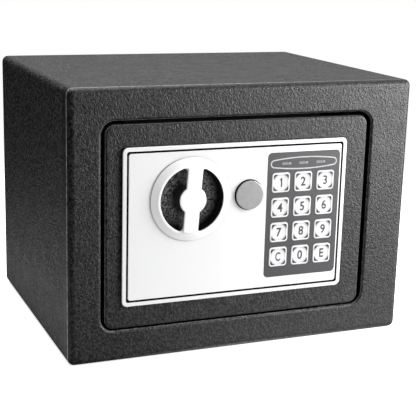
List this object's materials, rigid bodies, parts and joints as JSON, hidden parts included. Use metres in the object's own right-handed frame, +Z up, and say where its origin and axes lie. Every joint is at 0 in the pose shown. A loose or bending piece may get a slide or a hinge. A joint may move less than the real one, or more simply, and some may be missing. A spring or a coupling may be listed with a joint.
{
  "type": "in room safe",
  "caption": "Small steel electronic safe with a hinged door, turning bolt knob, keypad and emergency key lock, for a hotel room",
  "frame": {"origin": "middle of the cabinet's base, on the plane it rests on", "axes": "+X to the right seen from the front, +Y from the front into the safe, +Z up"},
  "size_m": [0.23, 0.188, 0.17],
  "materials": {
    "cabinet_paint": "black textured powder coat",
    "carpet": "needled dark grey felt",
    "zinc_steel": "zinc plated",
    "bright_steel": "bright plated steel",
    "fascia_bright": "pale satin silver",
    "black_plastic": "black moulded plastic",
    "knob_bright": "silver painted plastic",
    "brass_metal": "turned brass",
    "coil_tape": "yellow coil tape",
    "cap_grey": "grey moulded plastic",
    "panel_grey": "dark grey keypad plate",
    "mat_rubber": "silicone keypad mat",
    "board_green": "green circuit board",
    "cell_label": "printed cell sleeve",
    "red_plastic": "red moulded plastic",
    "lead_red": "insulated lead",
    "lamp_clear": "clear lamp",
    "key_white": "white moulded key"
  },
  "bodies": {
    "cabinet": {"cabinet_wrap": "cabinet_paint", "front_frame": "cabinet_paint", "back_panel": "cabinet_paint", "floor_mat": "carpet", "hinge_brackets": "zinc_steel", "door_stops": "cabinet_paint", "bolt_keeper": "cabinet_paint"},
    "door": {"door_plate": "cabinet_paint", "hinge_channel": "cabinet_paint", "hinge_pins": "bright_steel", "fascia_bezel": "fascia_bright", "fascia_base": "black_plastic", "fascia_plate": "fascia_bright", "knob_cup": "black_plastic", "carriage_guides": "brass_metal", "solenoid_frame": "zinc_steel", "solenoid_coil": "coil_tape", "lock_barrel": "bright_steel", "lock_nut": "zinc_steel", "keypad_panel": "panel_grey", "keypad_mat": "mat_rubber", "keypad_board": "board_green", "keypad_screws": "zinc_steel", "board_parts": "black_plastic", "inner_cover": "black_plastic", "cover_posts": "zinc_steel", "cover_screws": "zinc_steel", "battery_tray": "black_plastic", "batteries": "cell_label", "battery_contacts": "zinc_steel", "reset_switch": "black_plastic", "wiring": "lead_red", "indicator_lamps": "lamp_clear"},
    "knob": {"knob": "black_plastic", "knob_cover": "knob_bright", "knob_shaft": "bright_steel", "shaft_clip": "zinc_steel", "drive_cam": "zinc_steel"},
    "bolt_carriage": {"carriage_plate": "zinc_steel", "live_bolts": "bright_steel"},
    "plunger": {"plunger": "bright_steel", "plunger_spring": "bright_steel"},
    "override_lock": {"lock_plug": "brass_metal", "lock_lever": "zinc_steel"},
    "override_cap": {"override_cap": "cap_grey"},
    "battery_cover": {"battery_cover": "black_plastic"},
    "reset_button": {"reset_button": "red_plastic"},
    "key_1": {"key_1": "key_white"},
    "key_2": {"key_2": "key_white"},
    "key_3": {"key_3": "key_white"},
    "key_4": {"key_4": "key_white"},
    "key_5": {"key_5": "key_white"},
    "key_6": {"key_6": "key_white"},
    "key_7": {"key_7": "key_white"},
    "key_8": {"key_8": "key_white"},
    "key_9": {"key_9": "key_white"},
    "key_0": {"key_0": "key_white"},
    "key_c": {"key_c": "key_white"},
    "key_e": {"key_e": "key_white"}
  },
  "joints": [
    {"name": "door_hinge", "type": "hinge", "parent": "cabinet", "child": "door", "pos_m": [0.071, -0.081, 0.085], "axis": [0, 0, 1], "range_deg": [0, 100]},
    {"name": "knob_turn", "type": "hinge", "parent": "door", "child": "knob", "pos_m": [-0.0393, -0.09, 0.1012], "axis": [0, -1, 0], "range_deg": [0, 60.3]},
    {"name": "bolt_slide", "type": "slide", "parent": "door", "child": "bolt_carriage", "axis": [-1, 0, 0], "range_m": [0, 0.014]},
    {"name": "plunger_slide", "type": "slide", "parent": "door", "child": "plunger", "axis": [0, 0, -1], "range_m": [-0.005, 0], "deforming": ["plunger_spring"]},
    {"name": "override_lock", "type": "hinge", "parent": "door", "child": "override_lock", "pos_m": [-0.0003, -0.09, 0.1014], "axis": [0, -1, 0], "range_deg": [0, 90]},
    {"name": "cap_pull", "type": "slide", "parent": "door", "child": "override_cap", "axis": [0, -1, 0], "range_m": [0, 0.015]},
    {"name": "battery_cover_lift", "type": "slide", "parent": "door", "child": "battery_cover", "axis": [0, 1, 0], "range_m": [0, 0.03]},
    {"name": "reset_press", "type": "slide", "parent": "door", "child": "reset_button", "axis": [0, -1, 0], "range_m": [0, 0.0015], "stiffness_N_per_m": 150},
    {"name": "key_1_press", "type": "slide", "parent": "door", "child": "key_1", "axis": [0, 1, 0], "range_m": [0, 0.0012], "stiffness_N_per_m": 150},
    {"name": "key_2_press", "type": "slide", "parent": "door", "child": "key_2", "axis": [0, 1, 0], "range_m": [0, 0.0012], "stiffness_N_per_m": 150},
    {"name": "key_3_press", "type": "slide", "parent": "door", "child": "key_3", "axis": [0, 1, 0], "range_m": [0, 0.0012], "stiffness_N_per_m": 150},
    {"name": "key_4_press", "type": "slide", "parent": "door", "child": "key_4", "axis": [0, 1, 0], "range_m": [0, 0.0012], "stiffness_N_per_m": 150},
    {"name": "key_5_press", "type": "slide", "parent": "door", "child": "key_5", "axis": [0, 1, 0], "range_m": [0, 0.0012], "stiffness_N_per_m": 150},
    {"name": "key_6_press", "type": "slide", "parent": "door", "child": "key_6", "axis": [0, 1, 0], "range_m": [0, 0.0012], "stiffness_N_per_m": 150},
    {"name": "key_7_press", "type": "slide", "parent": "door", "child": "key_7", "axis": [0, 1, 0], "range_m": [0, 0.0012], "stiffness_N_per_m": 150},
    {"name": "key_8_press", "type": "slide", "parent": "door", "child": "key_8", "axis": [0, 1, 0], "range_m": [0, 0.0012], "stiffness_N_per_m": 150},
    {"name": "key_9_press", "type": "slide", "parent": "door", "child": "key_9", "axis": [0, 1, 0], "range_m": [0, 0.0012], "stiffness_N_per_m": 150},
    {"name": "key_0_press", "type": "slide", "parent": "door", "child": "key_0", "axis": [0, 1, 0], "range_m": [0, 0.0012], "stiffness_N_per_m": 150},
    {"name": "key_c_press", "type": "slide", "parent": "door", "child": "key_c", "axis": [0, 1, 0], "range_m": [0, 0.0012], "stiffness_N_per_m": 150},
    {"name": "key_e_press", "type": "slide", "parent": "door", "child": "key_e", "axis": [0, 1, 0], "range_m": [0, 0.0012], "stiffness_N_per_m": 150}
  ],
  "couplings": [
    {"joint": "knob_turn", "follows": "bolt_slide", "rad_per_m": 74.8}
  ]
}
